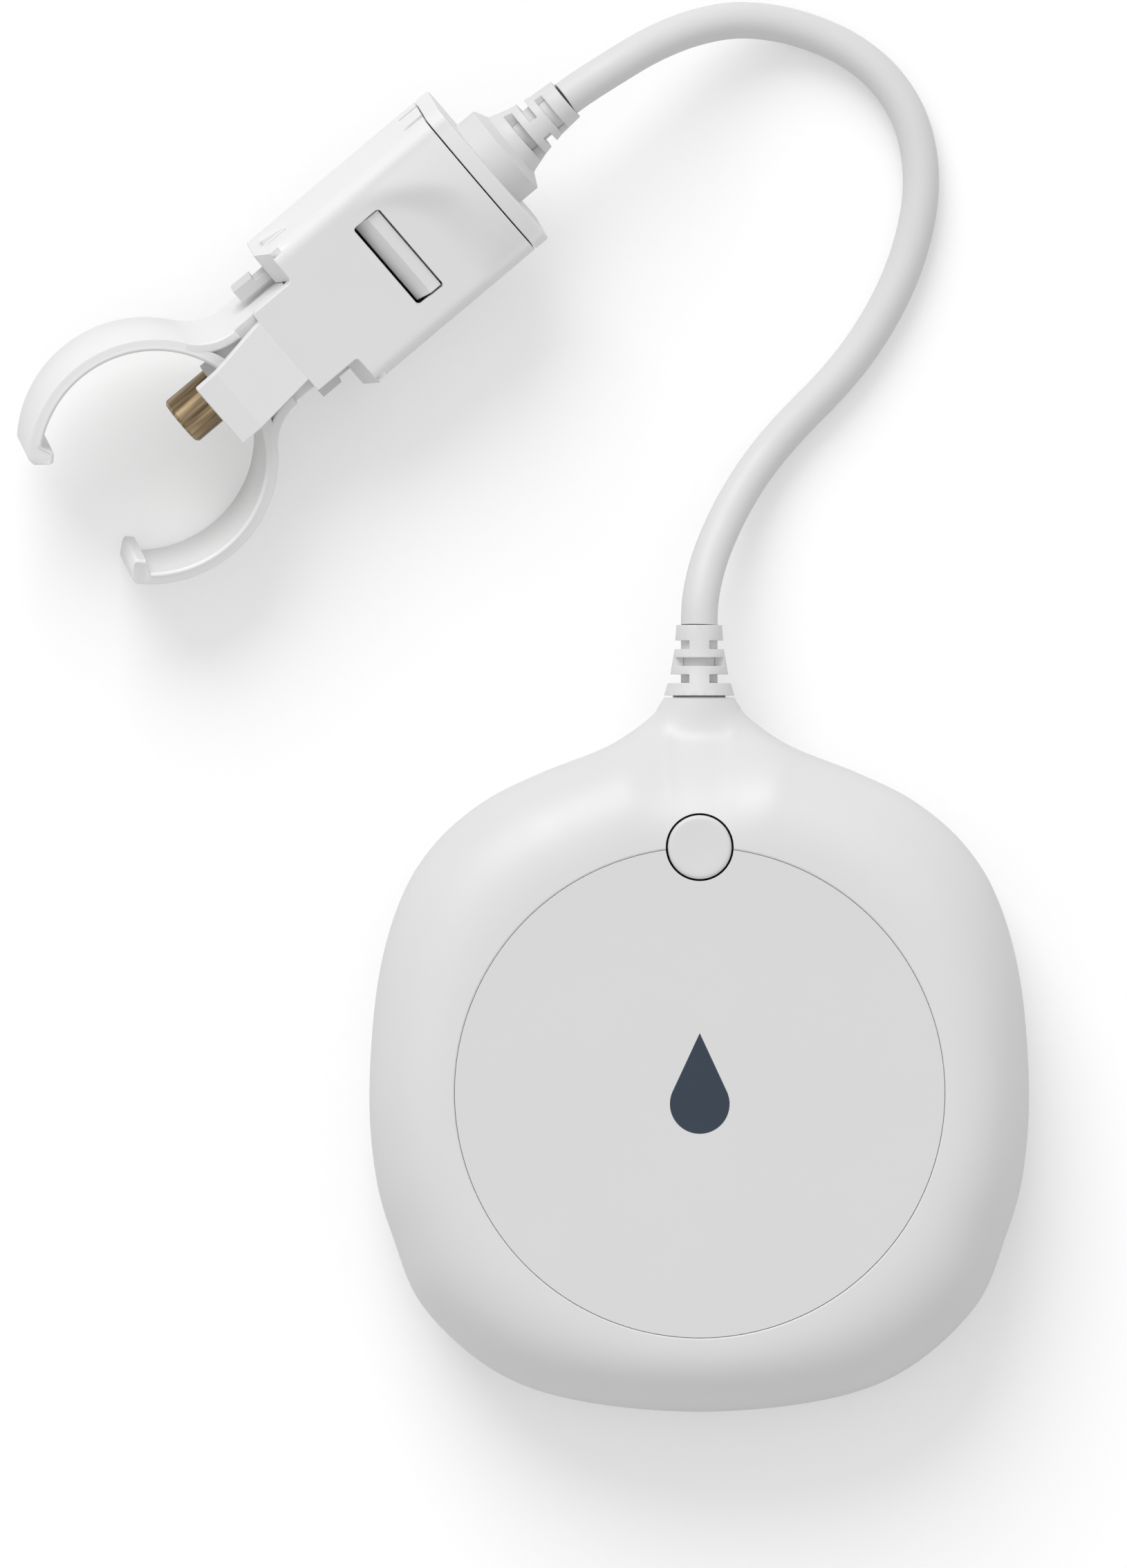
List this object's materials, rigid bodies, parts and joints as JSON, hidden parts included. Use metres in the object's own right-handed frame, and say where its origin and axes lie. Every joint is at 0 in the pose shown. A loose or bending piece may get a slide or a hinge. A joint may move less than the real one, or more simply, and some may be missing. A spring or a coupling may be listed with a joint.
{
  "type": "water leak detector",
  "caption": "Wall puck with a press button and lift-off face, joined by a short cable to a head that clips on a pipe and presses a sprung brass contact on it.",
  "frame": {"origin": "centre of the puck's flat back, straight behind the middle of its round face panel", "axes": "+X across the puck to its right, +Y towards the neck and the cable, +Z out of the face; z = 0 is the surface that it lies on"},
  "size_m": [0.1465, 0.204, 0.027],
  "materials": {
    "gloss_shell": "glossy white moulded shell",
    "satin_panel": "satin light grey",
    "satin_button": "satin white",
    "white_plastic": "semi-gloss white",
    "grey_plastic": "light grey, fine grain",
    "cable_grey": "soft light grey cable sheath",
    "black_plastic": "fine grain",
    "cream_plastic": "natural nylon",
    "aged_brass": "turned brass, slightly aged",
    "steel": "zinc-plated steel",
    "tin": "bright tinned sheet",
    "board_green": "solder mask",
    "board_blue": "solder mask",
    "cell_wrap": "shrink sleeve, blank",
    "lead_red": "insulated flat lead",
    "led_white": "clear lens over phosphor",
    "pad_foam": "closed-cell foam tape"
  },
  "bodies": {
    "root": {"front_cover": "gloss_shell", "rear_cover": "gloss_shell", "tact_switch": "tin", "status_led": "led_white", "main_board": "board_green", "radio_module": "board_blue", "radio_shield": "tin", "battery_tray": "black_plastic", "battery_cells": "cell_wrap", "contact_springs": "tin", "contact_plates": "tin", "mounting_pad": "pad_foam", "cover_screws": "steel", "board_screws": "steel", "lead_socket": "cream_plastic", "lead_plug": "cream_plastic", "puck_leads": "lead_red", "cable_clamp": "grey_plastic", "clamp_screws": "steel", "puck_strain_relief": "cable_grey", "puck_cable_end": "cable_grey", "sensor_cable": "cable_grey", "head_strain_relief": "cable_grey", "head_cable_end": "cable_grey", "head_cap": "white_plastic", "head_housing": "white_plastic", "sensor_carrier": "grey_plastic", "latch_pin": "steel", "contact_spring": "steel", "head_board": "board_green", "head_leads": "lead_red", "clip_base": "white_plastic"},
    "panel": {"face_panel": "satin_panel"},
    "button": {"button_cap": "satin_button", "switch_plunger": "black_plastic"},
    "probe": {"brass_contact": "aged_brass", "heat_sensor": "black_plastic"},
    "latch": {"release_latch": "white_plastic"},
    "arm_up": {"upper_arm": "white_plastic"},
    "arm_low": {"lower_arm": "white_plastic"}
  },
  "joints": [
    {"name": "button_press", "type": "slide", "parent": "root", "child": "button", "axis": [0, 0, -1], "range_m": [0, 0.0005], "stiffness_N_per_m": 3000},
    {"name": "panel_lift", "type": "slide", "parent": "root", "child": "panel", "axis": [0, 0, 1], "range_m": [0, 0.004]},
    {"name": "contact_press", "type": "slide", "parent": "root", "child": "probe", "axis": [0.765, 0.6419, 0.0523], "range_m": [0, 0.006], "stiffness_N_per_m": 500, "deforming": ["contact_spring"]},
    {"name": "latch_rock", "type": "hinge", "parent": "root", "child": "latch", "pos_m": [-0.03446, 0.12899, 0.0204], "axis": [0.6313, -0.7312, -0.2585], "range_deg": [0, 5], "stiffness_Nm_per_rad": 0.14},
    {"name": "upper_arm_flex", "type": "hinge", "parent": "root", "child": "arm_up", "pos_m": [-0.07667, 0.10935, 0.01584], "axis": [-0.1276, 0.2308, -0.9646], "range_deg": [0, 10], "stiffness_Nm_per_rad": 2.4},
    {"name": "lower_arm_flex", "type": "hinge", "parent": "root", "child": "arm_low", "pos_m": [-0.06265, 0.0931, 0.0101], "axis": [0.1276, -0.2308, 0.9646], "range_deg": [0, 10], "stiffness_Nm_per_rad": 2.4}
  ]
}
